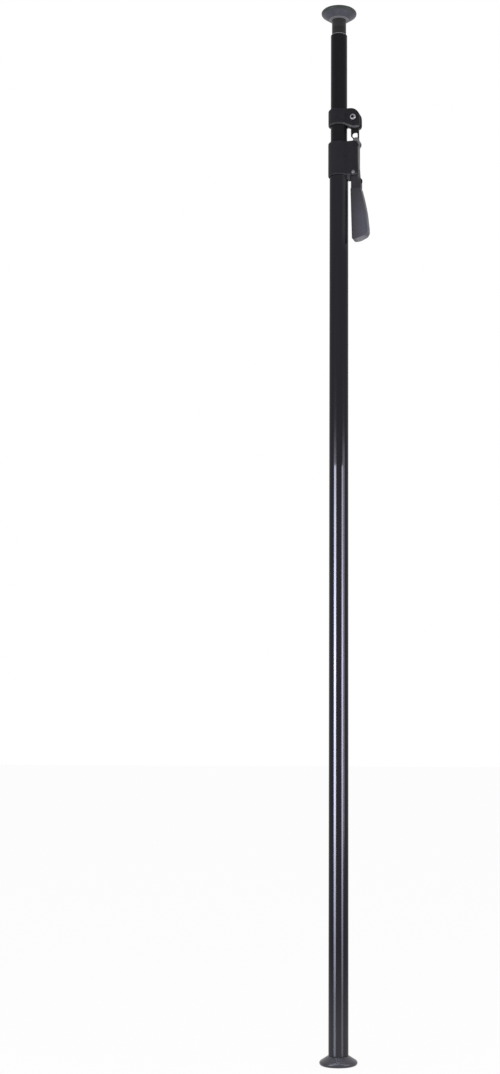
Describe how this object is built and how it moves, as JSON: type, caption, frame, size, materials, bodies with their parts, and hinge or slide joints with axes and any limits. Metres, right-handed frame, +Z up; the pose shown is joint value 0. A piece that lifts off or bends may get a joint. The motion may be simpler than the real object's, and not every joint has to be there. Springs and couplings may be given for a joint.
{
  "type": "tension pole",
  "caption": "Telescopic floor to ceiling tension pole with rubber cups, a pinch clamp and a cranked lever that jacks the upper tube against the ceiling.",
  "frame": {"origin": "centre of the floor cup's flat face", "axes": "+Z up along the pole, +X to the side that the lever is on, +Y to the back of the bolt head side"},
  "size_m": [0.1032, 0.076, 2.2],
  "materials": {
    "rubber": "smooth dark blue-grey moulded rubber with a soft gloss",
    "tube_black": "black anodised drawn tube, satin",
    "casting_black": "black powder coat on a die casting, fine grain",
    "casting_grey": "dark grey painted die casting, worn bright at its edges",
    "plastic_black": "matte black moulded plastic",
    "grip": "dark blue-grey moulded plastic, fine grain",
    "steel": "zinc plated steel"
  },
  "bodies": {
    "root": {"bottom_cup": "rubber", "bottom_plug": "plastic_black", "bottom_cup_screw": "steel", "lower_tube": "tube_black", "guide_bush": "plastic_black", "collar": "casting_black", "collar_rivet_1": "steel", "collar_rivet_2": "steel", "pivot_pin": "steel", "strike_pin": "steel"},
    "lever": {"lever_arm": "casting_grey", "lever_grip": "grip", "grip_screw_1": "steel", "grip_screw_2": "steel", "link_pin": "steel", "catch_pin": "steel"},
    "catch": {"safety_catch": "casting_black", "catch_spring": "steel"},
    "link": {"thrust_link": "casting_black"},
    "clamp": {"tube_clamp": "casting_black", "clamp_bolt": "steel", "clamp_washer": "steel", "clamp_nut": "steel"},
    "upper_pole": {"upper_tube": "tube_black", "slide_bush": "plastic_black", "top_plug": "plastic_black", "top_cup": "rubber", "top_cup_screw": "steel"}
  },
  "joints": [
    {"name": "lever_pivot", "type": "hinge", "parent": "root", "child": "lever", "pos_m": [0.0385, 0, 1.8936], "axis": [0, -1, 0], "range_deg": [0, 100]},
    {"name": "link_pivot", "type": "hinge", "parent": "lever", "child": "link", "pos_m": [0.0388, 0, 1.9048], "axis": [0, -1, 0], "range_deg": [-115.3, 0]},
    {"name": "clamp_lift", "type": "slide", "parent": "root", "child": "clamp", "axis": [0, 0, 1], "range_m": [-0.011, 0]},
    {"name": "tube_slide", "type": "slide", "parent": "clamp", "child": "upper_pole", "axis": [0, 0, 1], "range_m": [-0.1, 1.5]},
    {"name": "catch_pivot", "type": "hinge", "parent": "lever", "child": "catch", "pos_m": [0.042, 0, 1.821], "axis": [0, -1, 0], "range_deg": [0, 14], "stiffness_Nm_per_rad": 0.05, "springref_deg": -17.19}
  ],
  "couplings": [
    {"joint": "link_pivot", "follows": "lever_pivot", "ratio": -1.152},
    {"joint": "clamp_lift", "follows": "lever_pivot", "m_per_rad": -0.0062}
  ]
}
